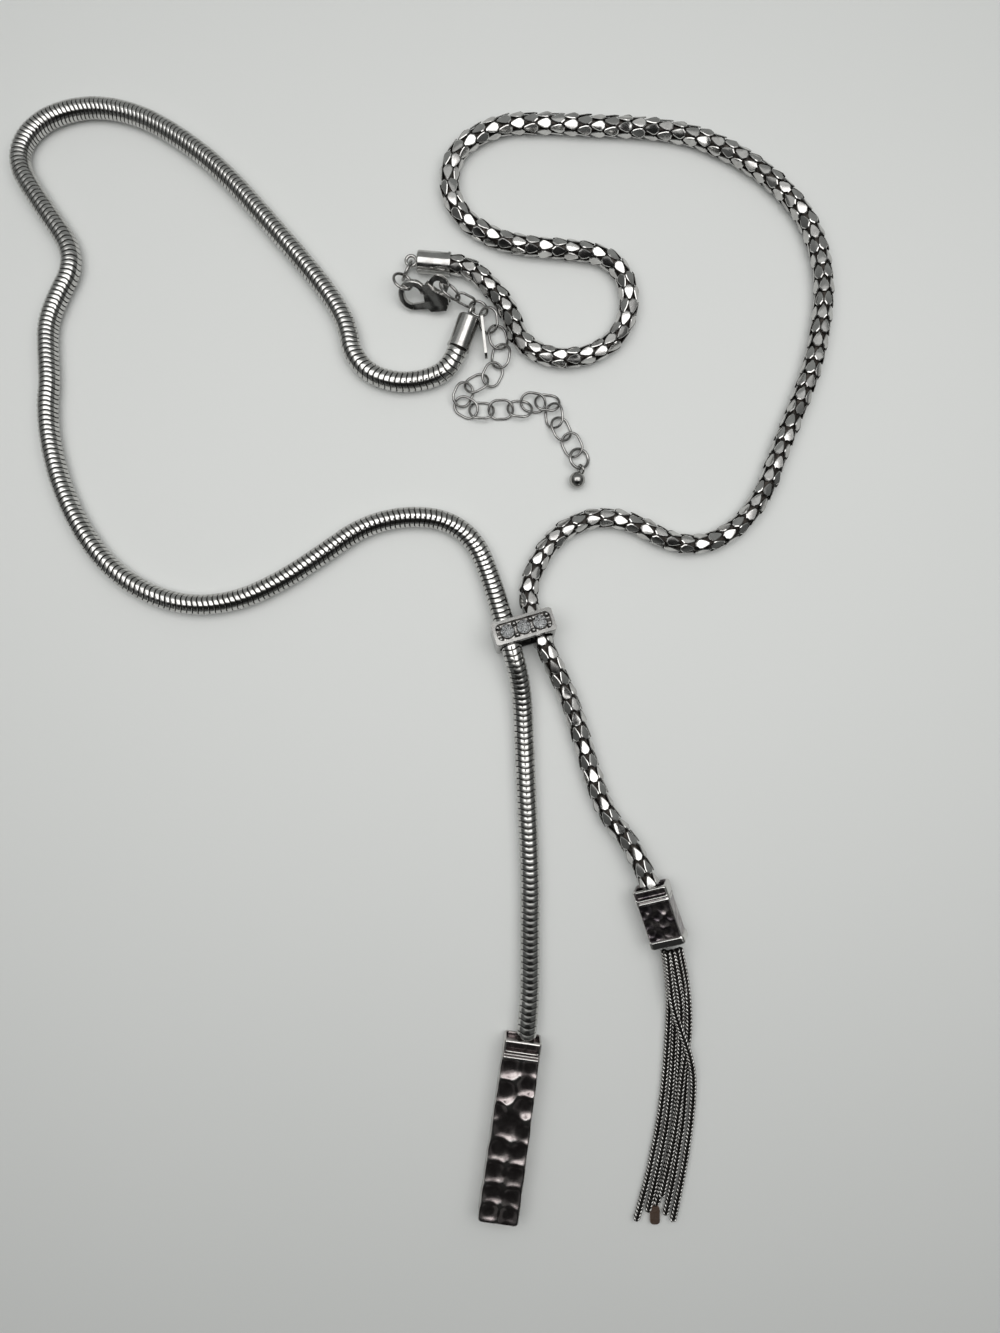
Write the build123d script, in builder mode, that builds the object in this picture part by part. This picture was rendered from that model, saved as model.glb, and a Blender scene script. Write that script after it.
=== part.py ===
from build123d import *
import os
from math import radians, sin, tan

os.makedirs("parts", exist_ok=True)

# A lariat necklace lying on a flat surface, which is the plane z = 0.
# Two chains run from the clasp at the top, through a box slider, to a bar
# pendant and a tassel at the bottom. Sizes are in millimetres.

# Driving dimensions
snake_dia = 4.8
popcorn_dia = 5.0
neck_dia = 4.0
seat_gap = 0.1
link_length = 6.4
link_width = 5.0
link_wire = 0.62
end_ring_dia = 5.5
end_ring_wire = 0.75
clasp_thick = 2.8
hook_thick = 1.5
lever_thick = 1.2
running_gap = 0.15


def tilted_plane(place, heading, pitch=0.0, roll=0.0):
    """A plane whose X runs along a heading, pitched up, then rolled about that X."""
    along = Vector(1, 0, 0).rotate(Axis.Y, -pitch).rotate(Axis.Z, heading)
    up = Vector(0, 0, 1).rotate(Axis.Y, -pitch).rotate(Axis.Z, heading)
    up = up.rotate(Axis((0, 0, 0), along), roll)
    return Plane(origin=place, x_dir=along, z_dir=up)


def facing_plane(place, azimuth, elevation):
    """A plane whose normal points at an azimuth and an elevation."""
    normal = Vector(1, 0, 0).rotate(Axis.Y, -elevation).rotate(Axis.Z, azimuth)
    return Plane(origin=place, z_dir=normal)


def save(built, name):
    """Label a finished piece and write it to a file of that name."""
    built.part.label = name
    export_step(built.part, f"parts/{name}.step")


# Chains
# Each is one tube along the line on which the chain lies. The points are
# (x, y, height of the centre line). A thinner neck at each end fills the
# socket of the piece that holds that end.

corner_share = 0.45

snake_route = [
    (8.5, 74.4, 2.75), (6.8, 69.8, 2.75), (1.2, 67.1, 2.4), (-6.0, 66.4, 2.4),
    (-12.8, 68.7, 2.4), (-16.8, 73.8, 2.4), (-17.5, 79.0, 2.4), (-20.0, 84.7, 2.4),
    (-26.1, 92.8, 2.4), (-36.1, 104.4, 2.4), (-47.5, 117.1, 2.4), (-58.4, 125.4, 2.4),
    (-67.9, 130.4, 2.4), (-78.4, 132.2, 2.4), (-88.6, 129.7, 2.4), (-94.7, 124.2, 2.4),
    (-95.8, 117.9, 2.4), (-92.1, 111.5, 2.4), (-87.9, 105.3, 2.4), (-83.7, 99.2, 2.4),
    (-83.1, 93.2, 2.4), (-86.2, 87.3, 2.4), (-88.9, 80.6, 2.4), (-88.8, 73.0, 2.4),
    (-88.4, 66.6, 2.4), (-89.0, 60.5, 2.4), (-88.3, 52.2, 2.4), (-85.7, 41.9, 2.4),
    (-81.0, 31.6, 2.4), (-74.3, 22.5, 2.4), (-64.8, 16.0, 2.4), (-53.9, 13.3, 2.4),
    (-43.2, 14.8, 2.4), (-33.3, 19.4, 2.4), (-23.8, 25.6, 2.4), (-14.3, 32.3, 2.4),
    (-4.1, 34.9, 2.4), (5.7, 34.1, 2.4), (12.6, 29.1, 2.4), (16.1, 20.8, 2.4),
    (18.7, 12.0, 3.6), (21.5, 2.7, 5.7), (23.7, -6.5, 3.2), (24.2, -17.2, 2.4),
    (24.7, -29.0, 2.4), (25.3, -40.9, 2.4), (25.7, -52.8, 2.4), (25.6, -64.6, 2.4),
    (25.6, -76.5, 2.5), (25.3, -82.4, 2.9), (24.7, -88.3, 3.1),
]

popcorn_route = [
    (6.9, 94.4, 2.75), (11.4, 94.0, 2.75), (17.2, 88.3, 2.5), (20.85, 83.3, 2.5),
    (22.8, 76.9, 2.5), (27.5, 73.3, 2.5), (35.1, 71.9, 2.5), (42.5, 74.0, 2.5),
    (47.7, 78.9, 2.5), (49.5, 85.8, 2.5), (47.9, 92.5, 2.5), (43.2, 96.7, 2.5),
    (35.6, 98.0, 2.5), (26.8, 98.6, 2.5), (17.8, 100.2, 2.5), (10.1, 104.9, 2.5),
    (6.4, 111.2, 2.5), (6.6, 118.6, 2.5), (10.7, 123.9, 2.5), (18.3, 127.7, 2.5),
    (28.0, 128.1, 2.5), (38.7, 127.5, 2.5), (51.7, 127.1, 2.5), (63.6, 125.5, 2.5),
    (74.3, 120.9, 2.5), (84.2, 114.1, 2.5), (91.5, 105.5, 2.5), (95.1, 95.1, 2.5),
    (95.45, 84.2, 2.5), (93.1, 71.4, 2.5), (89.0, 60.4, 2.5), (84.9, 50.5, 2.5),
    (81.6, 41.0, 2.5), (76.4, 33.4, 2.5), (68.8, 28.2, 2.5), (59.3, 28.2, 2.5),
    (50.8, 33.2, 2.5), (42.2, 34.9, 2.5), (33.9, 32.2, 2.5), (28.0, 25.3, 2.5),
    (24.8, 17.3, 2.5), (26.0, 12.0, 3.2), (28.7, 4.6, 5.0), (31.7, -1.7, 3.6),
    (35.3, -9.3, 2.7), (38.4, -19.8, 2.5), (41.3, -29.7, 2.5), (44.6, -37.1, 2.6),
    (48.6, -41.6, 3.4), (51.5, -46.9, 4.2), (53.7, -52.2, 4.26),
]


def route_radii(points):
    """The largest arc at each inner point that both runs beside it leave room for."""
    radii = []
    for before, corner, after in zip(points, points[1:], points[2:]):
        run_in = Vector(*corner) - Vector(*before)
        run_out = Vector(*after) - Vector(*corner)
        turn = radians(run_in.get_angle(run_out))
        shorter = min(run_in.length, run_out.length)
        radii.append(corner_share * shorter / tan(turn / 2))
    return radii


def make_chain(name, points, dia, first_neck, last_neck):
    """A round tube along the route, with a neck beyond each end."""
    radii = route_radii(points)
    section = 3.14159 * dia**2 / 4
    with BuildPart() as chain:
        with BuildLine():
            line = FilletPolyline(*points, radius=radii)
        start = Plane(origin=line @ 0, z_dir=line % 0)
        finish = Plane(origin=line @ 1, z_dir=line % 1)
        with BuildSketch(start):
            Circle(dia / 2)
        sweep(path=line)
        share = chain.part.volume / (section * line.length)
        with BuildSketch(start):
            Circle(neck_dia / 2)
        extrude(amount=-first_neck)
        with BuildSketch(finish):
            Circle(neck_dia / 2)
        extrude(amount=last_neck)
    print(name, "length", round(line.length, 1), "volume over section times length",
          round(share, 4), "radii", [round(r, 1) for r in radii])
    save(chain, name)


cap_neck = 5.0
pendant_neck = 2.8
tassel_neck = 2.2
make_chain("snake_chain", snake_route, snake_dia, cap_neck, pendant_neck)
make_chain("popcorn_chain", popcorn_route, popcorn_dia, cap_neck, tassel_neck)


# End caps
# A polished cup over the glued end of each chain, closed at the far end,
# where it carries an eyelet.

cup_length = 8.0
cup_dia = 5.2
lip_dia = 5.5
lip_length = 0.6
bore_dia = 4.3
bore_depth = 5.6
eyelet_centre = 9.4
eyelet_radius = 1.2
eyelet_wire = 0.8


def make_end_cap(name, points, eyelet_turn):
    """A cup whose mouth stands at the first point of a chain's route."""
    mouth = Vector(*points[0])
    outward = (mouth - Vector(*points[1])).normalized()
    mouth_plane = Plane(origin=mouth + outward * seat_gap, x_dir=(0, 0, 1), z_dir=outward)
    with BuildPart(mouth_plane) as cap:
        Cylinder(cup_dia / 2, cup_length, align=(Align.CENTER, Align.CENTER, Align.MIN))
        far_edge = cap.edges().filter_by(GeomType.CIRCLE).sort_by(Axis(mouth, outward))[-1]
        fillet(far_edge, 0.5)
        Cylinder(lip_dia / 2, lip_length, align=(Align.CENTER, Align.CENTER, Align.MIN))
        Cylinder(bore_dia / 2, bore_depth, align=(Align.CENTER, Align.CENTER, Align.MIN),
                 mode=Mode.SUBTRACT)
        with Locations(Location((0, 0, eyelet_centre), (0, 0, eyelet_turn))):
            Torus(eyelet_radius, eyelet_wire / 2, rotation=(0, 90, 0))
    save(cap, name)


make_end_cap("snake_end_cap", snake_route, 80)
make_end_cap("popcorn_end_cap", popcorn_route, 0)


# Slider
# A box that both chains pass through, tilted as it lies. Its upper part is a
# tray that holds three stones between prongs.

slider_plane = tilted_plane((23.95, 7.5, 4.97), heading=16.3, pitch=-5, roll=-13)
slider_width = 14.6
slider_depth = 5.6
slider_height = 7.7
slot_width = 13.0
slot_height = 5.75
slot_centre = -0.42
tray_length = 13.2
tray_width = 4.2
tray_depth = 0.9
stone_pitch = 3.95
stone_dia = 3.2
stone_girdle = 0.3
stone_table_dia = 1.9
crown_height = 0.75
stone_depth = 0.45
bead_dia = 1.15
bead_offset = 1.42
square_size = (0.9, 0.9, 0.35)
square_offset = 5.9
tray_floor = slider_height / 2 - tray_depth

with BuildPart(slider_plane) as slider_frame:
    Box(slider_width, slider_depth, slider_height)
    upright = slider_frame.edges().filter_by(Axis((0, 0, 0), slider_plane.z_dir))
    fillet(upright, 0.7)
    slot_plane = Plane(
        origin=slider_plane.from_local_coords((0, 0, slot_centre)),
        x_dir=slider_plane.x_dir,
        z_dir=slider_plane.y_dir,
    )
    with BuildSketch(slot_plane):
        SlotOverall(slot_width, slot_height)
    extrude(amount=slider_depth, both=True, mode=Mode.SUBTRACT)
    with BuildSketch(slider_plane.offset(slider_height / 2)):
        RectangleRounded(tray_length, tray_width, 1.3)
    extrude(amount=-tray_depth, mode=Mode.SUBTRACT)
    for side in (-1, 1):
        for step in (-1.5, -0.5, 0.5, 1.5):
            spot = (step * stone_pitch, side * bead_offset, tray_floor + bead_dia * 0.3)
            with Locations(spot):
                Sphere(bead_dia / 2)
        with Locations((side * square_offset, 0, tray_floor)):
            Box(*square_size)
save(slider_frame, "slider_frame")

for number, step in enumerate((-1, 0, 1), start=1):
    seat = slider_plane.from_local_coords((step * stone_pitch, 0, tray_floor + 0.08))
    stone_plane = Plane(origin=seat, x_dir=slider_plane.x_dir, z_dir=slider_plane.z_dir)
    girdle_plane = stone_plane.offset(stone_depth)
    with BuildPart() as stone:
        with BuildSketch(stone_plane):
            RegularPolygon(stone_table_dia / 2, 12)
        with BuildSketch(girdle_plane):
            RegularPolygon(stone_dia / 2, 12)
        loft()
        with BuildSketch(girdle_plane):
            RegularPolygon(stone_dia / 2, 12)
        extrude(amount=stone_girdle)
        with BuildSketch(girdle_plane.offset(stone_girdle)):
            RegularPolygon(stone_dia / 2, 12)
        with BuildSketch(girdle_plane.offset(stone_girdle + crown_height)):
            RegularPolygon(stone_table_dia / 2, 12)
        loft()
    save(stone, f"slider_stone_{number}")


# Bar pendant
# A flat bar that widens a little downward, with two grooves at its top, a
# socket for the snake chain, and round hammer marks over its other faces.

pendant_length = 43.3
pendant_top = 8.9
pendant_bottom = 9.75
pendant_thick = 6.2
pendant_plane = tilted_plane((23.95, -88.55, pendant_thick / 2), heading=-98)
groove_places = (2.2, 3.3)
groove_width = 0.5
groove_depth = 0.3
socket_dia = 4.4
socket_offset = 0.7
dent_radius = 3.4
dent_sink = 0.35
dent_rows = 8
dent_first = 6.6
dent_pitch = 4.75
dent_offset = 2.2

with BuildPart(pendant_plane) as bar_pendant:
    with BuildSketch(pendant_plane):
        with BuildLine():
            Polyline(
                (0, -pendant_top / 2),
                (pendant_length, -pendant_bottom / 2),
                (pendant_length, pendant_bottom / 2),
                (0, pendant_top / 2),
                close=True,
            )
        make_face()
    extrude(amount=pendant_thick / 2, both=True)
    fillet(bar_pendant.edges(), 0.7)
    for place in groove_places:
        with BuildSketch(Plane(pendant_plane.from_local_coords((place, 0, 0)),
                               x_dir=pendant_plane.y_dir, z_dir=pendant_plane.x_dir)):
            Rectangle(pendant_bottom + 2, pendant_thick + 2)
            Rectangle(pendant_top - 2 * groove_depth, pendant_thick - 2 * groove_depth,
                      mode=Mode.SUBTRACT)
        extrude(amount=groove_width, mode=Mode.SUBTRACT)
    with BuildSketch(Plane(pendant_plane.from_local_coords((0, socket_offset, 0)),
                           x_dir=pendant_plane.y_dir, z_dir=pendant_plane.x_dir)):
        Circle(socket_dia / 2)
    extrude(amount=pendant_neck + 0.3, mode=Mode.SUBTRACT)
    for row in range(dent_rows):
        x = dent_first + row * dent_pitch
        drift = 0.25 * sin(2.1 * row)
        for side in (-1, 1):
            for face in (-1, 1):
                height = face * (pendant_thick / 2 + dent_radius - dent_sink)
                with Locations((x, side * dent_offset + drift, height)):
                    Sphere(dent_radius, mode=Mode.SUBTRACT)
save(bar_pendant, "bar_pendant")


# Tassel
# A rectangular cap rolled onto its left edge, the bundle of fine chains as
# one solid of its outer form, and a small flat tab at one chain's end.

tassel_cap_length = 14.4
tassel_cap_width = 8.6
tassel_cap_thick = 6.0
tassel_cap_plane = tilted_plane((56.15, -59.2, 4.3), heading=-71.3, roll=19)
rim_height = 0.35
panel_start = 3.4
panel_end = 12.6
cap_mouth_depth = 1.6
tab_place = (55.5, -131.96)
tab_size = (2.3, 4.3, 0.5)

with BuildPart(tassel_cap_plane) as tassel_cap:
    Box(tassel_cap_length, tassel_cap_width, tassel_cap_thick)
    lengthwise = tassel_cap.edges().filter_by(Axis((0, 0, 0), tassel_cap_plane.x_dir))
    fillet(lengthwise, 0.9)
    for face in (-1, 1):
        panel_height = face * (tassel_cap_thick / 2 - rim_height / 2)
        panel_middle = (panel_start + panel_end - tassel_cap_length) / 2
        with Locations((panel_middle, 0, panel_height)):
            Box(panel_end - panel_start, tassel_cap_width - 1.8, rim_height,
                mode=Mode.SUBTRACT)
    with Locations((-tassel_cap_length / 2, 0, 0)):
        Box(1.4, 6.0, 4.4, align=(Align.MIN, Align.CENTER, Align.CENTER), mode=Mode.SUBTRACT)
        Cylinder(2.1, 3.6, rotation=(0, 90, 0), align=(Align.CENTER, Align.CENTER, Align.MIN),
                 mode=Mode.SUBTRACT)
    with Locations((tassel_cap_length / 2, 0, 0)):
        Box(cap_mouth_depth, 6.6, 4.2, align=(Align.MAX, Align.CENTER, Align.CENTER),
            mode=Mode.SUBTRACT)
save(tassel_cap, "tassel_cap")

# Rows across the bundle: y, left x, right x, thickness, height of its middle
tassel_rows = [
    (-75.5, 57.9, 63.4, 3.4, 3.1),
    (-80.3, 58.3, 64.3, 3.2, 2.2),
    (-85.0, 57.8, 64.8, 3.0, 1.6),
    (-92.2, 57.4, 64.3, 3.0, 1.55),
    (-99.3, 56.8, 65.6, 3.0, 1.55),
    (-108.9, 55.6, 64.9, 2.8, 1.45),
    (-116.0, 54.3, 64.1, 2.4, 1.25),
    (-123.1, 52.6, 63.0, 2.0, 1.05),
    (-133.1, 50.8, 60.3, 1.9, 1.0),
]
root_plane = Plane(
    tassel_cap_plane.from_local_coords((tassel_cap_length / 2 - cap_mouth_depth + 0.2, 0, 0)),
    x_dir=tassel_cap_plane.y_dir,
    z_dir=tassel_cap_plane.x_dir,
)

with BuildPart() as tassel:
    with BuildSketch(root_plane):
        RectangleRounded(5.2, 3.2, 1.0)
    with BuildSketch(root_plane.offset(cap_mouth_depth + 1.0)):
        RectangleRounded(5.2, 3.3, 1.0)
    for y, left, right, thick, middle in tassel_rows:
        row_plane = Plane(((left + right) / 2, y, middle), x_dir=(1, 0, 0), z_dir=(0, -1, 0))
        with BuildSketch(row_plane):
            RectangleRounded(right - left, thick, thick * 0.3)
    loft(ruled=True)
    with Locations((tab_place[0], tab_place[1] - 1, 1)):
        Box(tab_size[0] + 0.4, tab_size[1] + 2.4, 6, mode=Mode.SUBTRACT)
save(tassel, "tassel")

with BuildPart(Plane((tab_place[0], tab_place[1], 0.9))) as tassel_tab:
    Box(*tab_size)
    fillet(tassel_tab.edges().filter_by(Axis.Z), 0.8)
save(tassel_tab, "tassel_tab")


# Lobster clasp
# It lies tilted on the surface. Its own X runs from the hook to the eye, and
# its Y from the lever to the back. The lever turns about a pin through the
# body, and its nose closes the hook.

clasp_plane = tilted_plane((0.57, 87.0, 4.0), heading=0, pitch=11, roll=38.5)
hook_centre = (-2.7, -0.1)
hook_outer = 3.5
hook_inner = 2.1
eye_centre = (3.8, 1.5)
eye_outer = 2.4
eye_inner = 1.25
pivot = (3.6, -1.75)
pin_dia = 0.9

with BuildPart() as clasp_body:
    with BuildSketch(clasp_plane):
        with Locations(hook_centre):
            Circle(hook_outer)
            Circle(hook_inner, mode=Mode.SUBTRACT)
        with Locations((-0.4, -2.75)):
            Rectangle(5.6, 2.3, mode=Mode.SUBTRACT)
    extrude(amount=hook_thick / 2, both=True)
    fillet(clasp_body.edges().group_by(SortBy.LENGTH)[-1], 0.45)
    with BuildSketch(clasp_plane):
        with Locations(eye_centre):
            Circle(eye_outer)
    extrude(amount=lever_thick / 2, both=True)
    with BuildSketch(clasp_plane):
        with BuildLine():
            Polyline(
                (0.2, -1.55), (0.2, 1.9), (1.0, 2.5), (1.8, 1.8), (3.0, 0.5), (4.7, -0.4),
                (5.9, -1.2), (5.9, -2.7), (2.2, -2.7), (2.2, -1.55),
                close=True,
            )
        make_face()
    extrude(amount=clasp_thick / 2, both=True)
    with BuildSketch(clasp_plane):
        with Locations(eye_centre):
            Circle(eye_inner)
        with Locations(hook_centre):
            Circle(hook_inner)
    extrude(amount=clasp_thick, both=True, mode=Mode.SUBTRACT)
    with BuildSketch(clasp_plane):
        with BuildLine():
            Polyline(
                (-1.6, -3.55), (-1.6, -1.2), (-0.95, 0.16), (-0.6, 0.14), (1.9, -0.6),
                (3.3, -0.95), (4.6, -1.1), (7.0, -1.15), (7.0, -3.55),
                close=True,
            )
        make_face()
    extrude(amount=lever_thick / 2 + running_gap, both=True, mode=Mode.SUBTRACT)
    with BuildSketch(clasp_plane):
        with Locations(pivot):
            Circle(pin_dia / 2)
    extrude(amount=clasp_thick / 2, both=True)
save(clasp_body, "clasp_body")

with BuildPart() as clasp_lever:
    with BuildSketch(clasp_plane):
        with BuildLine():
            Polyline(
                (-2.92, -3.4), (-3.05, -2.15), (-1.0, -2.0), (1.6, -1.6), (3.0, -1.35),
                (4.4, -1.35), (4.9, -2.2), (5.4, -3.3), (4.9, -4.2), (1.2, -4.2),
                (0.6, -3.45),
                close=True,
            )
        make_face()
        with Locations(pivot):
            Circle(pin_dia / 2 + running_gap, mode=Mode.SUBTRACT)
    extrude(amount=lever_thick / 2, both=True)
save(clasp_lever, "clasp_lever")


# Jump rings
# Columns: name, place, azimuth and elevation of the ring's normal, radius of
# its centre line, wire
ring_table = [
    ("cap_ring", (-3.55, 92.9, 2.85), 156, 13, 2.3, 0.76),
    ("hook_ring", (-4.38, 89.68, 4.35), 40, 51, 2.33, 0.68),
    ("eye_ring", (6.75, 87.1, 5.15), 40, 36, 2.75, 0.7),
    ("hub_ring", (13.4, 84.1, 2.2), 48, 64, 2.15, 0.64),
]

for name, place, azimuth, elevation, radius, wire in ring_table:
    with BuildPart(facing_plane(place, azimuth, elevation)) as ring:
        Torus(radius, wire / 2)
    save(ring, name)


# Tag
# A small blank strip that stands on edge, with a hole for the hub ring.
tag_size = (11.0, 2.6, 0.6)
tag_hole_dia = 1.55
tag_plane = tilted_plane((14.65, 77.7, 2.42), heading=-83.5, pitch=-4, roll=90)

with BuildPart(tag_plane) as tag:
    with BuildSketch(tag_plane):
        SlotOverall(tag_size[0], tag_size[1])
        with Locations((tag_size[1] / 2 - tag_size[0] / 2, 0)):
            Circle(tag_hole_dia / 2, mode=Mode.SUBTRACT)
    extrude(amount=tag_size[2] / 2, both=True)
save(tag, "tag")


# Short link: an oval between the eye ring and the hub ring
short_link_plane = tilted_plane((10.35, 85.8, 3.13), heading=-18, pitch=-25, roll=55)


# Extender
# Oval links, each passing through the next, rolled by turns to one side and
# the other, so that the lowest point of each touches the surface.


def make_oval(name, plane, length, width, wire):
    """A link bent from round wire, its length along the plane's X."""
    with BuildSketch(plane) as outline:
        SlotOverall(length - wire, width - wire)
    loop = outline.sketch.face().outer_wire()
    with BuildPart() as oval:
        with BuildSketch(Plane(loop @ 0, z_dir=loop % 0)):
            Circle(wire / 2)
        sweep(path=loop)
    save(oval, name)


# Columns: x, y, heading, roll
extender_table = [
    (18.0, 77.7, -78, -22),
    (18.7, 73.2, -99, 22),
    (16.7, 68.8, -117, -22),
    (12.9, 66.7, -151, 24),
    (9.7, 64.0, -114, -24),
    (10.4, 61.0, -29, 16),
    (14.1, 60.2, -2, -22),
    (18.7, 60.4, 2, 22),
    (23.2, 60.6, -5, -22),
    (26.4, 62.1, -9, 22),
    (29.8, 62.1, -7, -22),
    (31.4, 58.9, -84, 30),
    (33.1, 55.8, -66, -22),
    (35.7, 52.0, -64, 22),
]

make_oval("short_link", short_link_plane, 5.4, 3.4, 0.6)
first_link_plane = tilted_plane((15.75, 81.6, 1.56), heading=-86, pitch=-18, roll=22)
make_oval("extender_link_01", first_link_plane, link_length, link_width, link_wire)
for number, (x, y, heading, roll) in enumerate(extender_table, start=2):
    rest_height = (link_width - link_wire) / 2 * sin(radians(abs(roll))) + link_wire / 2
    link_plane = tilted_plane((x, y, rest_height), heading, roll=roll)
    make_oval(f"extender_link_{number:02d}", link_plane, link_length, link_width, link_wire)

end_ring_radius = (end_ring_dia - end_ring_wire) / 2
end_ring_roll = 22
end_ring_height = end_ring_radius * sin(radians(end_ring_roll)) + end_ring_wire / 2
end_ring_plane = tilted_plane((37.4, 48.7, end_ring_height), -73, roll=-end_ring_roll)
with BuildPart(end_ring_plane) as extender_end_ring:
    Torus(end_ring_radius, end_ring_wire / 2)
save(extender_end_ring, "extender_end_ring")

# Ball drop: a bead with a small bail through the extender's last ring
ball_dia = 3.8
ball_place = (36.85, 43.5, ball_dia / 2)
bail_place = (37.8, 46.1, 1.35)
bail_radius = 1.05
bail_wire = 0.54
bail_plane = facing_plane(bail_place, 17, -25)
with BuildPart(bail_plane) as ball_drop:
    Torus(bail_radius, bail_wire / 2)
    with Locations(bail_plane.to_local_coords(Vector(*ball_place))):
        Sphere(ball_dia / 2)
save(ball_drop, "ball_drop")
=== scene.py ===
import random
from bisect import bisect_right
from math import cos, exp, pi, radians, sin, tau

import bpy
from mathutils import Matrix, Vector, noise


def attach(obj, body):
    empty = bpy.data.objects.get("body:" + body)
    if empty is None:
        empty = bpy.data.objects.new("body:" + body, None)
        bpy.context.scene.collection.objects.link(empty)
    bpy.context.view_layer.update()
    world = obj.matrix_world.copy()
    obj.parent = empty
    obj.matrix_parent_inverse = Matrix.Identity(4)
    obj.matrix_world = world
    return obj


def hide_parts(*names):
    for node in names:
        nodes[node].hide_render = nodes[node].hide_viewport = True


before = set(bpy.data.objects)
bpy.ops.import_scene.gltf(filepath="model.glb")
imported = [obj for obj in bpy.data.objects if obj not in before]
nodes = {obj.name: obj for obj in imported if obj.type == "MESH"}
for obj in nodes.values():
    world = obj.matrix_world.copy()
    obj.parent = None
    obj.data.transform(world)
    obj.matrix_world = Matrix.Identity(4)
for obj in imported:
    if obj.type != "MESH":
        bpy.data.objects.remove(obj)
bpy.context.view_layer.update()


# Camera
# It looks straight down on the laid-out necklace from 221 mm, a little to the
# right of the middle, as a hand-held photograph is taken.
camera_place = Vector((0.0185, -0.0009, 0.221))
view_data = bpy.data.cameras.new("camera")
view_data.lens = 24.87
view_data.sensor_width = 36
view_data.clip_start = 0.01
camera = bpy.data.objects.new("camera", view_data)
camera.location = camera_place
bpy.context.scene.collection.objects.link(camera)
bpy.context.scene.camera = camera


# Table and light
# A pale matt board lies under the necklace. A lamp behind a wider diffuser
# hangs over its upper part. The room is dim, and darkest above the foot of the
# board. A dark card just above the lens is what the flat polished places mirror.


class Reading:
    """A value from one node's socket. Arithmetic on it adds Math nodes."""

    def __init__(self, finish, socket):
        self.finish = finish
        self.socket = socket

    def math(self, operation, first, second):
        return self.finish.node("ShaderNodeMath", {"operation": operation},
                                {0: first, 1: second})

    def __add__(self, other):
        return self.math("ADD", self, other)

    def __sub__(self, other):
        return self.math("SUBTRACT", self, other)

    def __rsub__(self, other):
        return self.math("SUBTRACT", other, self)

    def __mul__(self, other):
        return self.math("MULTIPLY", self, other)

    __radd__ = __add__
    __rmul__ = __mul__


class Finish:
    """The nodes of one surface finish, all made by one method."""

    def __init__(self, name, steady):
        self.material = bpy.data.materials.new(name)
        self.material.use_nodes = True
        self.tree = self.material.node_tree
        self.shader = self.tree.nodes["Principled BSDF"]
        for socket, value in steady.items():
            self.shader.inputs[socket].default_value = value

    def node(self, kind, settings, sockets, out=0):
        made = self.tree.nodes.new(kind)
        for setting, value in settings.items():
            setattr(made, setting, value)
        for socket, value in sockets.items():
            if isinstance(value, Reading):
                self.tree.links.new(value.socket, made.inputs[socket])
            else:
                made.inputs[socket].default_value = value
        return Reading(self, made.outputs[out])

    def feed(self, socket, value):
        self.tree.links.new(value.socket, self.shader.inputs[socket])

    def place(self):
        return self.node("ShaderNodeTexCoord", {}, {}, "Object")

    def cloud(self, scale, detail=2.0, place=None):
        return self.node("ShaderNodeTexNoise", {},
                         {"Vector": place or self.place(), "Scale": scale, "Detail": detail})

    def between(self, factor, first, second):
        """A colour between two colours."""
        first, second = [shade if isinstance(shade, Reading) else (*shade, 1)
                         for shade in (first, second)]
        return self.node("ShaderNodeMix", {"data_type": "RGBA"},
                         {0: factor, 6: first, 7: second}, 2)

    def eased(self, value, low, high):
        """0 below low, 1 above high and smooth between."""
        return self.node("ShaderNodeMapRange", {"interpolation_type": "SMOOTHSTEP"},
                         {"Value": value, "From Min": low, "From Max": high})

    def bump(self, height, strength, distance):
        relief = self.node("ShaderNodeBump", {},
                           {"Strength": strength, "Distance": distance, "Height": height})
        self.feed("Normal", relief)


class Surround(Finish):
    """The nodes of the light that comes from the room."""

    def __init__(self, name):
        world = bpy.data.worlds.new(name)
        world.use_nodes = True
        bpy.context.scene.world = world
        self.tree = world.node_tree
        self.shader = self.tree.nodes["Background"]


def flat_sheet(name, half_width, half_length, place, finish):
    """A level sheet that is part of the set, not of the necklace."""
    data = bpy.data.meshes.new(name)
    data.from_pydata([(-half_width, -half_length, 0), (half_width, -half_length, 0),
                      (half_width, half_length, 0), (-half_width, half_length, 0)],
                     [], [(0, 1, 2, 3)])
    data.materials.append(finish.material)
    sheet = bpy.data.objects.new(name, data)
    sheet.location = place
    bpy.context.scene.collection.objects.link(sheet)
    return sheet


board = Finish("board", {"Roughness": 0.55, "Specular IOR Level": 0.3})
board.feed("Base Color", board.between(board.cloud(9, 3),
                                       (0.775, 0.79, 0.775), (0.80, 0.81, 0.80)))
board.bump(board.cloud(900, 3), 0.06, 0.0002)
board_half = 1.5
board_gap = 0.00005
flat_sheet("table", board_half, board_half, (0, 0, -board_gap), board)

room = Surround("room")
toward = room.node("ShaderNodeTexCoord", {}, {}, "Generated")
north = room.node("ShaderNodeSeparateXYZ", {}, {"Vector": toward}, 1)
dark_heading = (0, -0.62, 0.785)
# How nearly a direction points at the dark place above the foot of the board
toward_dark = room.node("ShaderNodeVectorMath", {"operation": "DOT_PRODUCT"},
                        {0: toward, 1: dark_heading}, 1)
room.shader.inputs["Color"].default_value = (0.97, 1.0, 0.98, 1)
lit = 0.10 + 0.20 * room.eased(north, -0.2, 0.8)
room.feed("Strength", 0.015 + lit * (1 - room.eased(toward_dark, 0.78, 0.90)))


def soft_panel(name, place, width, length, brightness):
    """A panel that faces down and is as bright as given wherever it is seen."""
    data = bpy.data.lights.new(name, "AREA")
    data.shape = "RECTANGLE"
    data.size = width
    data.size_y = length
    data.energy = brightness * pi * width * length
    data.color = (1.0, 0.995, 0.985)
    lamp = bpy.data.objects.new(name, data)
    lamp.location = place
    lamp.visible_camera = False
    bpy.context.scene.collection.objects.link(lamp)


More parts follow.
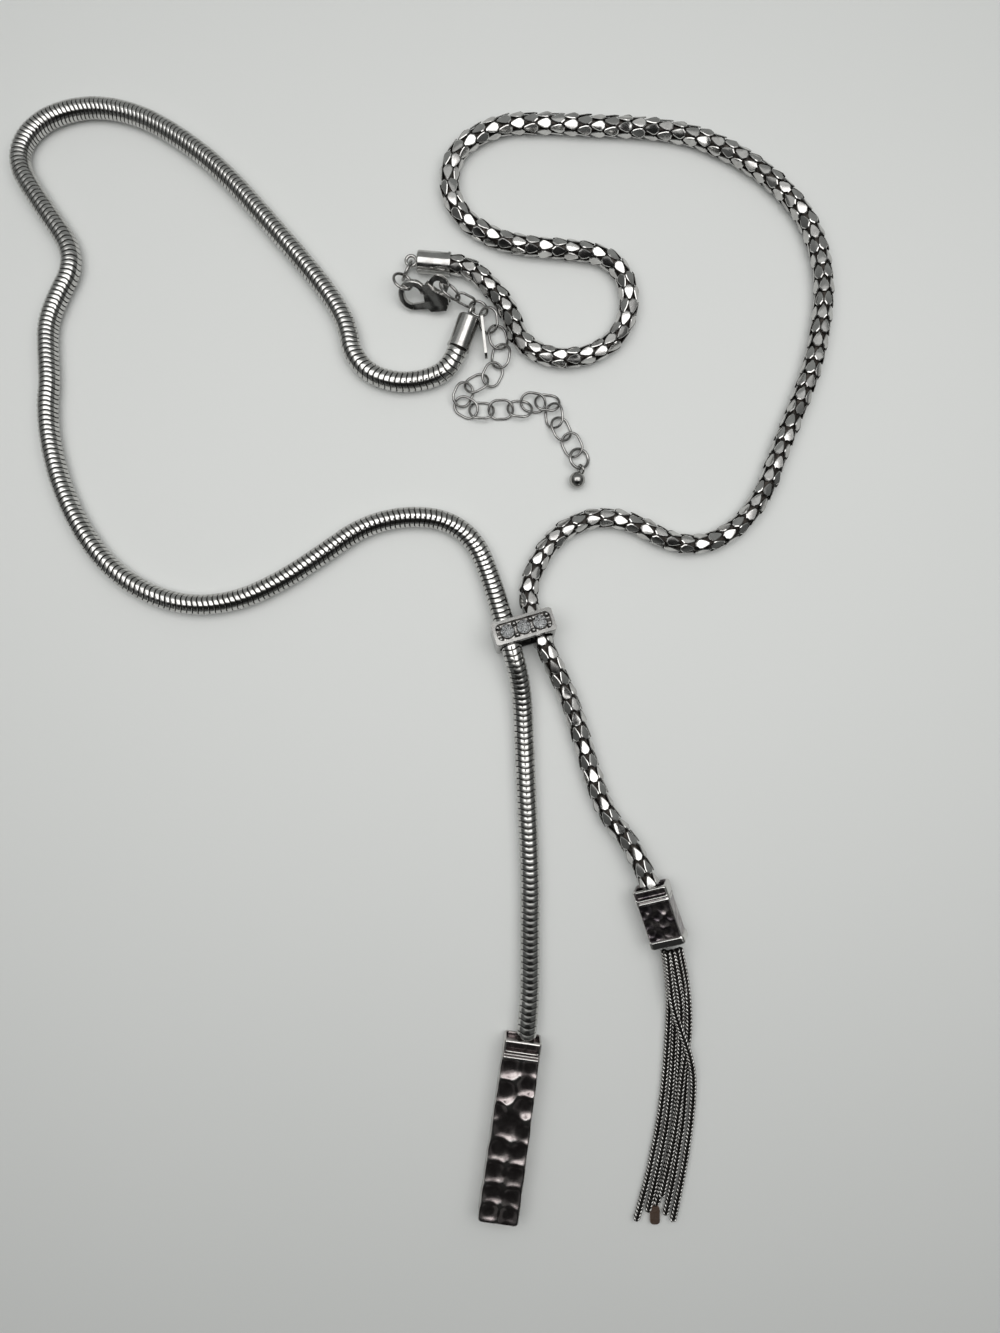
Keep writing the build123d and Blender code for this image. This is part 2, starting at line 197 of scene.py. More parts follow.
soft_panel("diffuser", (0.02, 0.09, 0.36), 0.80, 0.46, 0.42)
soft_panel("lamp", (0.03, 0.06, 0.359), 0.52, 0.29, 1.9)

card_half_width, card_half_length = 0.028, 0.045
card_gap = 0.011
card_finish = Finish("card", {"Base Color": (0.02, 0.02, 0.02, 1), "Roughness": 0.8})
card = flat_sheet("card", card_half_width, card_half_length,
                  camera_place + Vector((0, 0, card_gap)), card_finish)
card.visible_camera = False
card.visible_shadow = False
card.visible_diffuse = False

bpy.context.scene.view_settings.view_transform = "Standard"


# Snake chain
# Stamped, wavy bands of silver-plated brass, nested into a flexible round
# chain. Their edges and the inner tube carry painted shade for the gaps. Its
# thinner inner tube goes on into the end cap and the pendant, where it is glued.

snake_route = [
    (8.5, 74.4, 2.75), (6.8, 69.8, 2.75), (1.2, 67.1, 2.4), (-6.0, 66.4, 2.4),
    (-12.8, 68.7, 2.4), (-16.8, 73.8, 2.4), (-17.5, 79.0, 2.4), (-20.0, 84.7, 2.4),
    (-26.1, 92.8, 2.4), (-36.1, 104.4, 2.4), (-47.5, 117.1, 2.4), (-58.4, 125.4, 2.4),
    (-67.9, 130.4, 2.4), (-78.4, 132.2, 2.4), (-88.6, 129.7, 2.4), (-94.7, 124.2, 2.4),
    (-95.8, 117.9, 2.4), (-92.1, 111.5, 2.4), (-87.9, 105.3, 2.4), (-83.7, 99.2, 2.4),
    (-83.1, 93.2, 2.4), (-86.2, 87.3, 2.4), (-88.9, 80.6, 2.4), (-88.8, 73.0, 2.4),
    (-88.4, 66.6, 2.4), (-89.0, 60.5, 2.4), (-88.3, 52.2, 2.4), (-85.7, 41.9, 2.4),
    (-81.0, 31.6, 2.4), (-74.3, 22.5, 2.4), (-64.8, 16.0, 2.4), (-53.9, 13.3, 2.4),
    (-43.2, 14.8, 2.4), (-33.3, 19.4, 2.4), (-23.8, 25.6, 2.4), (-14.3, 32.3, 2.4),
    (-4.1, 34.9, 2.4), (5.7, 34.1, 2.4), (12.6, 29.1, 2.4), (16.1, 20.8, 2.4),
    (18.7, 12.0, 3.6), (21.5, 2.7, 5.7), (23.7, -6.5, 3.2), (24.2, -17.2, 2.4),
    (24.7, -29.0, 2.4), (25.3, -40.9, 2.4), (25.7, -52.8, 2.4), (25.6, -64.6, 2.4),
    (25.6, -76.5, 2.5), (25.3, -82.4, 2.9), (24.7, -88.3, 3.1),
]
# Distance along the chain and the pitch of its bands there: it is pushed
# together where it curves on the left and drawn out where it hangs.
band_pitches = [(0, 1.42), (40, 1.13), (95, 1.0), (190, 1.1), (260, 1.29), (350, 1.2),
                (400, 1.42), (464, 1.5)]
# Distance along the chain and by how many degrees its waves are turned round it
band_turns = [(0, 20), (200, -48), (350, 0), (464, 4)]
# Where along its pitch, and how far out, each edge of a band's barrel lies
band_profile = [(-0.45, 1.9), (-0.43, 2.25), (-0.35, 2.37), (0.0, 2.42), (0.34, 2.38),
                (0.42, 2.25), (0.435, 1.9)]
band_spokes = 36
band_start = 0.2
band_overrun = 1.0
wave_height = 0.23
wave_count = 3
snake_core_radius = 2.0
# How far the inner tube goes on into the end cap and into the pendant
snake_in_cap, snake_in_pendant = 3.4, 2.6
millimetre = 0.001


class Lay:
    """The smooth middle line on which a chain lies, read by the distance along it."""

    def __init__(self, route):
        curve = bpy.data.curves.new("lay", "CURVE")
        curve.dimensions = "3D"
        spline = curve.splines.new("NURBS")
        spline.points.add(len(route) - 1)
        for spot, place in zip(spline.points, route):
            spot.co = (*place, 1)
        spline.resolution_u = 24
        spline.order_u = 3
        spline.use_endpoint_u = True
        holder = bpy.data.objects.new("lay", curve)
        read = bpy.data.meshes.new_from_object(holder)
        self.places = [read.vertices[0].co.copy()]
        for vertex in read.vertices[1:]:
            if (vertex.co - self.places[-1]).length > 1e-4:
                self.places.append(vertex.co.copy())
        bpy.data.objects.remove(holder)
        bpy.data.curves.remove(curve)
        bpy.data.meshes.remove(read)
        self.marks = [0.0]
        for before, after in zip(self.places, self.places[1:]):
            self.marks.append(self.marks[-1] + (after - before).length)
        self.length = self.marks[-1]
        last = len(self.places) - 1
        self.headings = [(self.places[min(k + 1, last)] - self.places[max(k - 1, 0)]).normalized()
                         for k in range(last + 1)]

    def at(self, distance):
        """Place, and the directions along, to the left and upward, at a distance."""
        k = min(max(bisect_right(self.marks, distance), 1), len(self.marks) - 1)
        share = (distance - self.marks[k - 1]) / (self.marks[k] - self.marks[k - 1])
        place = self.places[k - 1] + (self.places[k] - self.places[k - 1]) * share
        share = min(max(share, 0), 1)
        along = self.headings[k - 1].lerp(self.headings[k], share).normalized()
        left = Vector((0, 0, 1)).cross(along).normalized()
        return place, along, left, along.cross(left)


def read_table(rows, key):
    """A value between the two rows of a table that lie beside the key."""
    for (low, first), (high, second) in zip(rows, rows[1:]):
        if key <= high:
            break
    share = min(max((key - low) / (high - low), 0), 1)
    return first + (second - first) * share


def shape(name, points, faces, finishes, picks=None, crease=40):
    """A piece made from points in millimetres. picks says which finish each face has."""
    data = bpy.data.meshes.new(name)
    data.from_pydata([Vector(point) * millimetre for point in points], [], faces)
    for finish in finishes:
        data.materials.append(finish.material)
    if picks:
        data.polygons.foreach_set("material_index", picks)
    data.shade_smooth()
    data.set_sharp_from_angle(angle=radians(crease))
    data.update()
    piece = bpy.data.objects.new(name, data)
    bpy.context.scene.collection.objects.link(piece)
    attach(piece, "necklace")
    return piece


def skin(rings, first_point):
    """Quads that join rings of points, each ring as long as the next."""
    spokes = len(rings[0])
    faces = []
    for k in range(len(rings) - 1):
        here = first_point + k * spokes
        there = here + spokes
        for j in range(spokes):
            after = (j + 1) % spokes
            faces.append((here + j, here + after, there + after, there + j))
    return faces


def joined(rings):
    """The points of all rings in one list."""
    return [point for ring in rings for point in ring]


def add_core(lay, first, last, radius, spokes, step):
    """A plain round tube along a line, added to the points, faces and picks with the painted
    shade finish (pick 1).
    """
    rings = []
    count = int((last - first) / step) + 1
    for k in range(count + 1):
        place, along, left, up = lay.at(first + (last - first) * k / count)
        rings.append([place + (left * sin(tau * j / spokes) + up * cos(tau * j / spokes)) * radius
                      for j in range(spokes)])
    core_faces = skin(rings, len(points))
    points.extend(joined(rings))
    faces.extend(core_faces)
    picks.extend([1] * len(core_faces))


def plate(name, bright, dull, roughness, grain=2600.0, relief=0.00001, detail=3):
    """Polished silver plate: faint clouding, fine rub marks, and a little wear."""
    finish = Finish(name, {"Metallic": 1.0})
    place = finish.place()
    clouding = finish.cloud(420, 4, place)
    rub = finish.cloud(grain, detail, place)
    finish.feed("Base Color", finish.between(finish.eased(clouding, 0.35, 0.68), bright, dull))
    finish.feed("Roughness", roughness + 0.10 * finish.eased(clouding, 0.42, 0.72) + 0.05 * rub)
    finish.bump(rub, 0.25, relief)
    return finish


def painted_shade_metal(name, shade, tint):
    """Painted shade: near-black metal for gaps, insides and crevices where shade falls, mottled
    at random.
    """
    finish = Finish(name, {"Metallic": 0.85})
    shade_mottle = finish.cloud(1500, 3)
    finish.feed("Base Color", finish.between(finish.eased(shade_mottle, 0.35, 0.65), shade, tint))
    finish.feed("Roughness", 0.42 + 0.2 * shade_mottle)
    finish.bump(shade_mottle, 0.3, 0.00002)
    return finish


snake_bright = plate("snake_bright", (0.60, 0.595, 0.58), (0.47, 0.465, 0.45), 0.08)
# Painted shade for the gaps between the bands and for the inner tube
snake_painted_shade = painted_shade_metal("snake_painted_shade", (0.018, 0.016, 0.015), (0.05, 0.045, 0.04))
snake = Lay(snake_route)
points, faces, picks = [], [], []
distance = band_start
while True:
    pitch = read_table(band_pitches, distance)
    middle = distance + pitch / 2
    if distance + pitch > snake.length + band_overrun:
        break
    turned = radians(read_table(band_turns, middle))
    rings = []
    for share, radius in band_profile:
        ring = []
        for j in range(band_spokes):
            angle = tau * j / band_spokes
            shift = wave_height * cos(wave_count * (angle - turned))
            place, along, left, up = snake.at(middle + share * pitch + shift)
            ring.append(place + (left * sin(angle) + up * cos(angle)) * radius)
        rings.append(ring)
    faces += skin(rings, len(points))
    points += joined(rings)
    # The bands' first and last rows of faces are their edges, near black with painted shade from
    # the gaps between bands
    bright_count = band_spokes * (len(rings) - 3)
    picks += [1] * band_spokes + [0] * bright_count + [1] * band_spokes
    distance += pitch
add_core(snake, -snake_in_cap, snake.length + snake_in_pendant, snake_core_radius, 12, 1.4)
snake_piece = shape("snake_bands", points, faces, [snake_bright, snake_painted_shade],
                    picks, crease=35)
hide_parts("snake_chain")


# Popcorn chain
# Folded, kite-shaped scales of bright plate, six to a ring and staggered from
# ring to ring, hooked into a round mesh. The inside and the scales' undersides
# carry painted shade.

popcorn_route = [
    (6.9, 94.4, 2.75), (11.4, 94.0, 2.75), (17.2, 88.3, 2.5), (20.85, 83.3, 2.5),
    (22.8, 76.9, 2.5), (27.5, 73.3, 2.5), (35.1, 71.9, 2.5), (42.5, 74.0, 2.5),
    (47.7, 78.9, 2.5), (49.5, 85.8, 2.5), (47.9, 92.5, 2.5), (43.2, 96.7, 2.5),
    (35.6, 98.0, 2.5), (26.8, 98.6, 2.5), (17.8, 100.2, 2.5), (10.1, 104.9, 2.5),
    (6.4, 111.2, 2.5), (6.6, 118.6, 2.5), (10.7, 123.9, 2.5), (18.3, 127.7, 2.5),
    (28.0, 128.1, 2.5), (38.7, 127.5, 2.5), (51.7, 127.1, 2.5), (63.6, 125.5, 2.5),
    (74.3, 120.9, 2.5), (84.2, 114.1, 2.5), (91.5, 105.5, 2.5), (95.1, 95.1, 2.5),
    (95.45, 84.2, 2.5), (93.1, 71.4, 2.5), (89.0, 60.4, 2.5), (84.9, 50.5, 2.5),
    (81.6, 41.0, 2.5), (76.4, 33.4, 2.5), (68.8, 28.2, 2.5), (59.3, 28.2, 2.5),
    (50.8, 33.2, 2.5), (42.2, 34.9, 2.5), (33.9, 32.2, 2.5), (28.0, 25.3, 2.5),
    (24.8, 17.3, 2.5), (26.0, 12.0, 3.2), (28.7, 4.6, 5.0), (31.7, -1.7, 3.6),
    (35.3, -9.3, 2.7), (38.4, -19.8, 2.5), (41.3, -29.7, 2.5), (44.6, -37.1, 2.6),
    (48.6, -41.6, 3.4), (51.5, -46.9, 4.2), (53.7, -52.2, 4.26),
]
ring_pitches = [(0, 3.15), (220, 3.2), (270, 3.45), (340, 3.3), (432, 3.6)]
scales_round = 6
scale_seat = 2.07
scale_tilt = 5
# Half of a scale's outline from its upstream tip: along and across
scale_side = [(-1.8, 0.22), (-0.7, 0.76), (0.25, 1.08), (0.9, 1.08), (1.65, 0.42)]
scale_outline = scale_side + [(u, -v) for u, v in reversed(scale_side)]
# The raised face: its share of the outline, its height, and its fold above that
scale_rim = 0.85
scale_rim_height = 0.14
scale_fold = 0.05
scale_fold_ends = (-0.9, 0.75)
# The turned-in underside: its share along and across, and how far it lies below
scale_under = (0.93, 0.9, -0.16)
# How unevenly the scales lie, in degrees
tilt_play, roll_play = 3, 6
popcorn_start = 1.3
popcorn_overrun = 0.4
popcorn_core_radius = 1.75
popcorn_in_cap, popcorn_in_tassel_cap = 3.4, 2.0

popcorn_bright = plate("popcorn_bright", (0.62, 0.615, 0.60), (0.49, 0.48, 0.47), 0.07)
# Painted shade for the chain's inside and the scales' turned-in undersides
popcorn_painted_shade = painted_shade_metal("popcorn_painted_shade", (0.018, 0.016, 0.014), (0.06, 0.052, 0.046))

# One scale, from its middle: the points of its raised face, its rim, its
# underside and its fold, and its faces with the finish of each
scale_points = [(u * scale_rim, v * scale_rim, scale_rim_height) for u, v in scale_outline]
scale_points += [(u, v, 0.0) for u, v in scale_outline]
scale_points += [(u * scale_under[0], v * scale_under[1], scale_under[2])
                 for u, v in scale_outline]
scale_points += [(u, 0, scale_rim_height + scale_fold) for u in scale_fold_ends]
count = len(scale_outline)
tip, tail = 3 * count, 3 * count + 1
scale_faces = [(0, 1, tip), (1, 2, tail, tip), (2, 3, tail), (3, 4, tail), (4, 5, tail),
               (5, 6, tail), (6, 7, tail), (7, 8, tip, tail), (8, 9, tip), (9, 0, tip)]
scale_picks = [0] * len(scale_faces)
# The turned-in underside's faces (row 1) get painted shade; the rest is bright plate
for row in range(2):
    for j in range(count):
        after, here = (j + 1) % count, row * count
        scale_faces.append((here + after, here + j, here + count + j, here + count + after))
        scale_picks.append(row)

popcorn = Lay(popcorn_route)
chance = random.Random(7)
points, faces, picks = [], [], []
ring_number = 0
distance = popcorn_start
while distance < popcorn.length + popcorn_overrun:
    place, along, left, up = popcorn.at(distance)
    drift = radians(24 + 14 * sin(distance / 60))
    for k in range(scales_round):
        angle = drift + tau * (k + ring_number % 2 / 2) / scales_round
        outward = left * sin(angle) + up * cos(angle)
        around = left * cos(angle) - up * sin(angle)
        tilt = radians(scale_tilt + chance.uniform(-tilt_play, tilt_play))
        roll = radians(chance.uniform(-roll_play, roll_play))
        lengthwise = along * cos(tilt) + outward * sin(tilt)
        facing = outward * cos(tilt) - along * sin(tilt)
        across = around * cos(roll) + facing * sin(roll)
        facing = facing * cos(roll) - around * sin(roll)
        seat = place + outward * scale_seat
        first = len(points)
        points += [seat + lengthwise * u + across * v + facing * height
                   for u, v, height in scale_points]
        faces += [[first + corner for corner in face] for face in scale_faces]
        picks += scale_picks
    ring_number += 1
    distance += read_table(ring_pitches, distance)
add_core(popcorn, -popcorn_in_cap, popcorn.length + popcorn_in_tassel_cap, popcorn_core_radius,
         12, 1.6)
popcorn_piece = shape("popcorn_scales", points, faces,
                      [popcorn_bright, popcorn_painted_shade], picks, crease=12)
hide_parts("popcorn_chain")


# End caps
# Turned brass cups with a soldered eyelet, plated and polished, glued over
# the upper end of each chain.


def refinish(names, finish):
    """Give the frame's own pieces a finish."""
    for name in names:
        for holder in nodes[name].material_slots:
            holder.material = finish.material


end_cap_finish = plate("cap_polish", (0.52, 0.515, 0.50), (0.43, 0.42, 0.41), 0.13, grain=1800)
refinish(["snake_end_cap", "popcorn_end_cap"], end_cap_finish)


# Slider
# A cast box through which both chains pass. Its tray holds three round clear
# stones between beads raised from the metal, on a textured floor. Painted shade
# darkens the foot of the beads and walls in the tray and rings each stone.

slider_heading, slider_pitch, slider_roll = 16.3, -5, -13
slider_centre = (23.95, 7.5, 4.97)
slider_height = 7.7
tray_depth = 0.9
stone_pitch = 3.95


def tilted_frame(place, heading, pitch=0.0, roll=0.0):
    """A frame in millimetres whose X runs along a heading, pitched up, then rolled."""
    turn = (Matrix.Rotation(radians(heading), 4, "Z") @ Matrix.Rotation(radians(-pitch), 4, "Y")
            @ Matrix.Rotation(radians(roll), 4, "X"))
    return Matrix.Translation(place) @ turn


slider_frame = tilted_frame(slider_centre, slider_heading, slider_pitch, slider_roll)
slider_up = slider_frame.to_3x3() @ Vector((0, 0, 1))
floor_height = slider_height / 2 - tray_depth

slider_finish = Finish("slider_cast", {"Metallic": 1.0})
on_slider = slider_finish.place()
level = slider_finish.node("ShaderNodeVectorMath", {"operation": "DOT_PRODUCT"},
                           {0: on_slider, 1: slider_up}, 1)
floor_level = (Vector(slider_centre).dot(slider_up) + floor_height) * millimetre
# Painted shade: the foot of walls and beads rising from the tray floor is near black up to 0.2
# mm, fading out by 0.65 mm
above_painted_shade = slider_finish.eased(level, floor_level + 0.0002, floor_level + 0.00065)
above_floor = slider_finish.eased(level, floor_level + 0.00002, floor_level + 0.0001)
in_tray = slider_finish.eased(level, floor_level - 0.0005, floor_level - 0.0002)
sparkle = slider_finish.cloud(2300, 4, on_slider)
clouding = slider_finish.cloud(500, 3, on_slider)
casting = slider_finish.between(slider_finish.eased(clouding, 0.35, 0.7),
                                (0.36, 0.355, 0.345), (0.28, 0.275, 0.27))
stippled = slider_finish.between(slider_finish.eased(sparkle, 0.42, 0.62),
                                 (0.30, 0.29, 0.28), (0.80, 0.79, 0.77))
# The near-black colour here is the painted shade at the foot of the walls and beads
wall = slider_finish.between(above_painted_shade, (0.07, 0.066, 0.063), casting)
tray = slider_finish.between(above_floor, stippled, wall)
slider_finish.feed("Base Color", slider_finish.between(in_tray, casting, tray))
floor_mask = in_tray * (1 - above_floor)
slider_finish.feed("Roughness", 0.10 + 0.1 * clouding + 0.35 * floor_mask)
slider_finish.bump(sparkle * (0.12 + floor_mask * 0.9), 0.6, 0.00005)
refinish(["slider_frame"], slider_finish)

stone_glass = Finish("stone_glass", {"Roughness": 0.02, "IOR": 1.6, "Transmission Weight": 1.0})
stone_glass.feed("Base Color", stone_glass.between(stone_glass.cloud(700, 2),
                                                   (1.0, 1.0, 1.0), (0.95, 0.96, 0.98)))
stone_foil = Finish("stone_foil", {"Metallic": 0.35})
glint = stone_foil.cloud(1300, 2)
stone_foil.feed("Base Color", stone_foil.between(glint, (1.0, 1.0, 1.0), (0.86, 0.87, 0.88)))
stone_foil.feed("Roughness", 0.06 + 0.5 * stone_foil.eased(glint, 0.42, 0.6))
stone_mirror = plate("stone_mirror", (0.95, 0.95, 0.96), (0.8, 0.81, 0.83), 0.02)
# Painted shade for the gaps round the stones and the crevices of the tray
crevice_painted_shade = painted_shade_metal("crevice_painted_shade", (0.03, 0.028, 0.026), (0.12, 0.11, 0.10))

# Brilliant cut, from the small flat at the bottom to the table: radius,
# height, number of corners and the share of a corner by which they are turned
stone_rows = [(0.45, 0.05, 8, 0.0), (1.58, 0.46, 16, 0.0), (1.6, 0.74, 16, 0.0),
              (1.30, 1.13, 8, 0.5), (0.92, 1.46, 8, 0.0)]
stone_lift = 0.08
stone_turn = 17
# The foil's crumpled cup, from its middle outward: radius, height, how far every
# second point is off that, and the share of a point by which the row is turned
foil_middle = 0.10
foil_rows = [(0.8, 0.14, 0.16, 0.0), (1.5, 0.44, -0.1, 0.5)]
# The ring of painted shade round each stone: radius and height
stone_shade_rows = [(1.62, -0.07), (1.62, 0.34), (1.67, 0.38), (1.74, 0.34), (1.80, -0.07)]


def stone_ring(seat, radius, height, corners, turned):
    return [seat @ Vector((radius * cos(tau * (k + turned) / corners),
                           radius * sin(tau * (k + turned) / corners), height))
            for k in range(corners)]


for number, step in enumerate((-1, 0, 1), start=1):
    seat = (slider_frame @ Matrix.Translation((step * stone_pitch, 0, floor_height + stone_lift))
            @ Matrix.Rotation(radians(stone_turn * number), 4, "Z"))
    points, faces, starts = [], [], []
    for radius, height, corners, turned in stone_rows:
        starts.append(len(points))
        points += stone_ring(seat, radius, height, corners, turned)
    low, girdle, edge, star, flat = starts
    faces.append([low + 7 - k for k in range(8)])
    faces.append([flat + k for k in range(8)])
    for k in range(16):
        after = (k + 1) % 16
        faces.append((girdle + k, girdle + after, edge + after, edge + k))
    for k in range(8):
        after = (k + 1) % 8
        odd, even = 2 * k + 1, 2 * after
        faces += [(low + k, low + after, girdle + odd), (low + k, girdle + odd, girdle + 2 * k),
                  (low + after, girdle + even, girdle + odd),
                  (edge + 2 * k, edge + odd, star + k), (edge + odd, edge + even, star + k),
                  (star + k, flat + after, flat + k),
                  (edge + even, star + after, flat + after, star + k)]
    stone = shape(f"stone_{number}", points, faces, [stone_glass], crease=1)
    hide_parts(f"slider_stone_{number}")

    points = [seat @ Vector((0, 0, foil_middle))]
    for radius, height, crumple, turned in foil_rows:
        for k in range(16):
            angle = tau * (k + turned) / 16
            points.append(seat @ Vector((radius * cos(angle), radius * sin(angle),
                                         height + crumple * (k % 2))))
    faces = []
    for k in range(16):
        after = (k + 1) % 16
        faces += [(0, 1 + k, 1 + after), (1 + k, 17 + k, 1 + after),
                  (1 + after, 17 + k, 17 + after)]
    shape(f"stone_foil_{number}", points, faces, [stone_foil, stone_mirror],
          [0, 1, 0, 1, 0, 1] * 8, crease=1)

    # A near-black ring wall: painted shade for the gap round the stone
    rings = [stone_ring(seat, radius, height, 40, 0) for radius, height in stone_shade_rows]
    shape(f"stone_shade_ring_{number}", joined(rings), skin(rings, 0),
          [crevice_painted_shade])

# Painted shade in the tray: a dark ring round the foot of each bead, and a
# dark strip along the foot of its wall
bead_across = 1.42
bead_foot, bead_shade_reach = 0.4, 0.74
tray_half, tray_side, tray_bend = 6.6, 2.1, 1.3
points, faces = [], []


def add_flat_ring(inner, outer, height):
    faces.extend(skin([inner, outer], len(points)))
    points.extend(slider_frame @ Vector((x, y, floor_height + height)) for x, y in inner + outer)


def tray_line(inset):
    bend = tray_bend - inset
    return [((tray_half - tray_bend) * side_x + bend * cos(angle),
             (tray_side - tray_bend) * side_y + bend * sin(angle))
            for side_x, side_y, start in ((1, 1, 0), (-1, 1, 90), (-1, -1, 180), (1, -1, 270))
            for angle in (radians(start + 15 * k) for k in range(7))]


for step in (-1.5, -0.5, 0.5, 1.5):
    for side in (-1, 1):
        add_flat_ring(*[[(step * stone_pitch + radius * cos(tau * k / 20),
                          side * bead_across + radius * sin(tau * k / 20)) for k in range(20)]
                        for radius in (bead_foot, bead_shade_reach)], 0.04)
add_flat_ring(tray_line(0.22), tray_line(0.02), 0.03)
shape("tray_painted_shade", points, faces, [crevice_painted_shade])


# Bar pendant
# A cast bar, hammered on all its sides and antiqued: dark in the hollows and
# rubbed bright on the high places, with a framed band at its top.

pendant_frame = tilted_frame((23.95, -88.55, 3.1), -98)
pendant_length = 43.3
pendant_thick = 6.2
pendant_corner = 0.7
# Hammer marks on the front: distance from the top, across, and radius
front_marks = [
    (6.5, -2.3, 2.9), (6.3, 2.5, 2.6), (10.4, 2.4, 2.7), (12.2, -2.6, 2.9), (15.3, 2.4, 2.8),
    (19.9, -0.9, 3.8), (16.9, -3.6, 2.2), (21.6, 3.6, 2.6), (25.9, -2.2, 3.0), (26.2, 2.6, 2.9),
    (31.1, -2.5, 2.9), (31.5, 2.3, 2.9), (36.1, -2.3, 2.8), (36.7, 2.5, 2.8), (40.6, -2.5, 2.5),
    (41.0, 2.1, 2.5),
]
mark_depth = 0.95
# How much wider than its radius a mark's soft bowl is, and how full it is pressed
bowl_spread, bowl_fullness = 1.12, 1.4
wander_scale, wander_height = 0.45, 0.10
# Each groove of the band at the top: distance from the top and half width
groove_one, groove_two = (2.95, 0.28), (3.65, 0.25)


def hammered(marks, x, across, depth):
    """How deep a hammered face lies: soft bowls that run into each other."""
    pressed = 0.0
    for mark_x, mark_across, radius in marks:
        share = ((x - mark_x)**2 + (across - mark_across)**2) / (bowl_spread * radius)**2
        pressed += max(1 - share, 0)**2
    wander = noise.noise(Vector((x * wander_scale, across * wander_scale, depth)))
    return depth * (1 - exp(-bowl_fullness * pressed)) + wander_height * (wander + 0.5)


def eased(value, low, high):
    share = min(max((value - low) / (high - low), 0), 1)
    return share * share * (3 - 2 * share)


def slot_line(x, middle, width, depth):
    """A groove across a face."""
    return depth * exp(-(((x - middle) / width)**2) * 2)


def cast_block(stations, width_at, thick, corner, front, back, side, counts):
    """Rings of a cast block, its faces pressed in by relief. Each point's depth is kept."""
    across_count, up_count, bend_count = counts
    rings, depths = [], []
    for x, inset in stations:
        half, high = width_at(x) / 2 - inset, thick / 2 - inset
        bend = max(min(corner, half * 0.8, high * 0.8), 0.02)
        outline = []
        for quarter in range(4):
            flat_count = across_count if quarter % 2 == 0 else up_count
            flat = (half - bend) if quarter % 2 == 0 else (high - bend)
            reach_out = high if quarter % 2 == 0 else half
            for k in range(flat_count):
                outline.append((quarter, (2 * k / flat_count - 1) * flat, reach_out, 0.0))
            for k in range(bend_count):
                outline.append((quarter, flat, reach_out, 90 * k / bend_count))
        ring, ring_depths = [], []
        for quarter, slide, reach_out, angle in outline:
            turned = radians(angle)
            local = Vector((slide + bend * sin(turned), reach_out - bend * (1 - cos(turned))))
            normal = Vector((sin(turned), cos(turned)))
            v, w, nv, nw = [(local.x, local.y, normal.x, normal.y),
                            (local.y, -local.x, normal.y, -normal.x),
                            (-local.x, -local.y, -normal.x, -normal.y),
                            (-local.y, local.x, -normal.y, normal.x)][quarter]
            face = front if nw > 0 else back
            depth_w = face(x, v) * nw * nw
            depth_v = side(x, w if nv > 0 else -w) * nv * nv
            fade = 1 - eased(inset, 0.4, 0.62)
            ring.append(Vector((x, v - (1 if nv > 0 else -1) * depth_v * fade,
                                w - (1 if nw > 0 else -1) * depth_w * fade)))
            ring_depths.append(max(depth_w, depth_v) * fade + (1 - fade) * 0.3)
        rings.append(ring)
        depths += ring_depths
    return rings, depths


def cast_piece(name, block_frame, block, finish):
    """The closed block, with its relief's depth kept for the finish to read."""
    rings, depths = block
    points = [block_frame @ point for point in joined(rings)]
    faces = skin(rings, 0)
    spokes = len(rings[0])
    faces.append(list(range(spokes)))
    faces.append([len(points) - 1 - k for k in range(spokes)])
    piece = shape(name, points, faces, [finish], crease=50)
    hollow = piece.data.attributes.new("hollow", "FLOAT", "POINT")
    hollow.data.foreach_set("value", depths)
    return piece


def antique(name, dark, bright, low, high):
    """Antiqued plate: dark hollows, rubbed ridges, and a purple-brown film between."""
    finish = Finish(name, {"Metallic": 0.98})
    place = finish.place()
    hollow = finish.node("ShaderNodeAttribute", {"attribute_name": "hollow"}, {}, "Fac")
    film = finish.cloud(650, 4, place)
    pits = finish.cloud(2400, 3, place)
    worn = finish.eased(hollow + film * 0.16, low, high)
    tone = finish.between(finish.eased(film, 0.4, 0.65), dark, (0.35, 0.315, 0.31))
    finish.feed("Base Color", finish.between(worn, bright, tone))
    finish.feed("Roughness", 0.09 + 0.05 * worn + 0.07 * film)
    finish.bump(film * 0.7 + pits * 0.3, 0.35, 0.00008)
    return finish


def pendant_width(x):
    return 8.9 + 0.85 * x / pendant_length


def pendant_front(x, v):
    window = (eased(x, 0.55, 0.9) * (1 - eased(x, 2.2, 2.55))
              * (1 - eased(abs(v), 3.35, 3.75)))
    body = eased(x, 4.1, 4.9)
    return (1.1 * window + slot_line(x, *groove_one, 0.4) + slot_line(x, *groove_two, 0.3)
            + body * hammered(front_marks, x, v, mark_depth))


# The back has the front's marks in the other order from the top
back_marks = [(42 - mark_x + 3.5, mark_across, radius)
              for mark_x, mark_across, radius in front_marks]


def pendant_back(x, v):
    return (slot_line(x, *groove_one, 0.3) + slot_line(x, *groove_two, 0.25)
            + eased(x, 4.1, 4.9) * (1 - eased(x, 41.5, 43)) * hammered(back_marks, x, v, 0.35))


side_marks = [(6.5, 0.8, 2.6), (11.5, -0.9, 2.5), (16.2, 0.4, 2.8), (21.5, -0.5, 2.6),
              (26.4, 0.9, 2.5), (31.0, -0.7, 2.8), (36.0, 0.4, 2.7), (40.4, -0.4, 2.2)]


def pendant_side(x, w):
    return (slot_line(x, *groove_one, 0.3) + slot_line(x, *groove_two, 0.25)
            + eased(x, 4.1, 4.9) * hammered(side_marks, x, w, 0.34))


